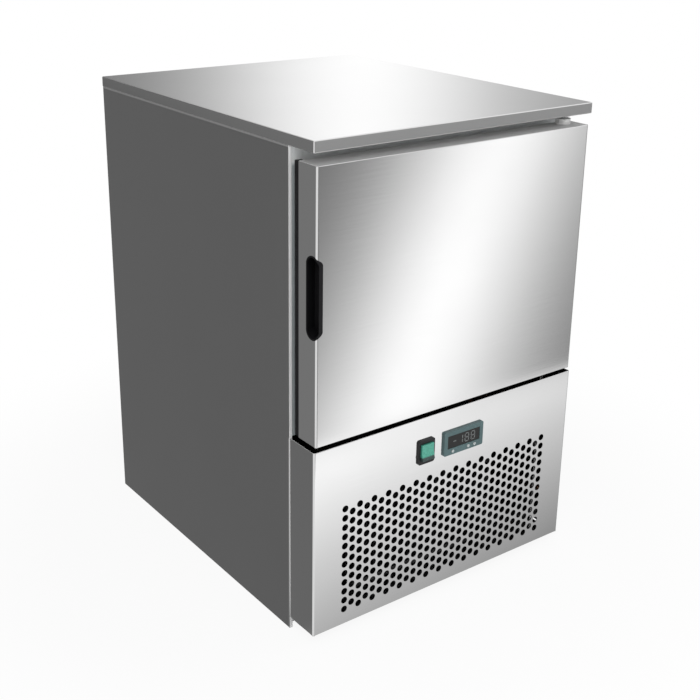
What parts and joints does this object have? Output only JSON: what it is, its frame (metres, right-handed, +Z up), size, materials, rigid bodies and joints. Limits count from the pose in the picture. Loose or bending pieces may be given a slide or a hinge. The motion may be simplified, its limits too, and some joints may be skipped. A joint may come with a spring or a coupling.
{
  "type": "undercounter blast chiller",
  "caption": "Undercounter stainless steel blast chiller with a right-hinged insulated door, a corner handle pocket and a perforated lower panel with a rocker switch and a small controller.",
  "frame": {"origin": "centre of the bounding box's footprint, on the floor", "axes": "+X to the chiller's right, +Y to its back (the front faces -Y), +Z up"},
  "size_m": [0.52, 0.624, 0.765],
  "materials": {
    "stainless_steel": "fine satin brushing",
    "side_steel": "fine satin brushing, seen against a dark surround",
    "frame_paint": "satin grey enamel",
    "galvanised_steel": "dull galvanised",
    "fastener_steel": "bright zinc",
    "black_paint": "satin black enamel",
    "grey_paint": "satin grey enamel",
    "copper_pipe": "drawn copper, slightly dulled",
    "aluminium_fin": "mill finish",
    "black_plastic": "moulded, fine texture",
    "fan_plastic": "moulded",
    "seal_rubber": "extruded",
    "foam": "rigid foam",
    "core_board": "pale laminate on both faces, raw edges",
    "white_plastic": "turned",
    "teal_rocker": "translucent gloss",
    "controller_plastic": "moulded, fine texture",
    "window_plastic": "tinted gloss",
    "key_plastic": "gloss"
  },
  "bodies": {
    "cabinet": {"worktop": "stainless_steel", "worktop_core": "core_board", "side_panel_left": "side_steel", "side_panel_right": "side_steel", "back_panel": "galvanised_steel", "front_frame": "frame_paint", "breaker_strip": "black_plastic", "cabinet_insulation": "foam", "inner_liner": "stainless_steel", "compartment_deck": "galvanised_steel", "base_pan": "black_paint", "leg_inserts": "fastener_steel", "rear_cover": "galvanised_steel", "cover_screws": "fastener_steel", "cable_gland": "black_plastic", "rack_left": "stainless_steel", "rack_right": "stainless_steel", "rack_studs": "stainless_steel", "evaporator_cover": "stainless_steel", "fan_guard": "stainless_steel", "evaporator_motor": "grey_paint", "evaporator_fins": "aluminium_fin", "evaporator_tubes": "copper_pipe", "condenser_fins": "black_paint", "condenser_tubes": "black_paint", "condenser_shroud": "black_paint", "condenser_motor": "grey_paint", "compressor": "black_paint", "compressor_feet": "seal_rubber", "terminal_box": "black_plastic", "liquid_receiver": "black_paint", "filter_drier": "copper_pipe", "discharge_pipe": "copper_pipe", "liquid_pipe": "copper_pipe", "suction_pipe": "copper_pipe", "drain_pipe": "seal_rubber", "condensate_tray": "black_plastic", "electrical_box": "grey_paint", "lower_panel": "stainless_steel", "panel_screws": "fastener_steel", "switch_frame": "black_plastic", "controller_frame": "controller_plastic", "controller_window": "window_plastic", "controller_case": "black_plastic", "top_hinge_bracket": "stainless_steel", "bottom_hinge_bracket": "stainless_steel", "hinge_screws": "fastener_steel"},
    "door": {"door_skin": "stainless_steel", "door_foam": "foam", "door_liner": "stainless_steel", "door_gasket": "seal_rubber", "handle_pocket": "black_plastic", "top_hinge_bush": "white_plastic", "bottom_hinge_bush": "white_plastic"},
    "rocker": {"switch_rocker": "teal_rocker"},
    "set_key": {"key_set": "key_plastic"},
    "down_key": {"key_down": "key_plastic"},
    "up_key": {"key_up": "key_plastic"},
    "chamber_fan": {"evaporator_fan": "fan_plastic"},
    "compartment_fan": {"condenser_fan": "fan_plastic"}
  },
  "joints": [
    {"name": "door_hinge", "type": "hinge", "parent": "cabinet", "child": "door", "pos_m": [0.2295, -0.27298, 0.5295], "axis": [0, 0, 1], "range_deg": [0, 95]},
    {"name": "rocker_pivot", "type": "hinge", "parent": "cabinet", "child": "rocker", "pos_m": [-0.051, -0.30448, 0.265], "axis": [1, 0, 0], "range_deg": [0, 14]},
    {"name": "set_press", "type": "slide", "parent": "cabinet", "child": "set_key", "axis": [0, 1, 0], "range_m": [0, 0.0008], "stiffness_N_per_m": 400},
    {"name": "down_press", "type": "slide", "parent": "cabinet", "child": "down_key", "axis": [0, 1, 0], "range_m": [0, 0.0008], "stiffness_N_per_m": 400},
    {"name": "up_press", "type": "slide", "parent": "cabinet", "child": "up_key", "axis": [0, 1, 0], "range_m": [0, 0.0008], "stiffness_N_per_m": 400},
    {"name": "chamber_fan_spin", "type": "hinge", "parent": "cabinet", "child": "chamber_fan", "pos_m": [0, 0.12202, 0.5295], "axis": [0, 1, 0], "continuous": true},
    {"name": "compartment_fan_spin", "type": "hinge", "parent": "cabinet", "child": "compartment_fan", "pos_m": [0, -0.13898, 0.1245], "axis": [0, 1, 0], "continuous": true}
  ]
}
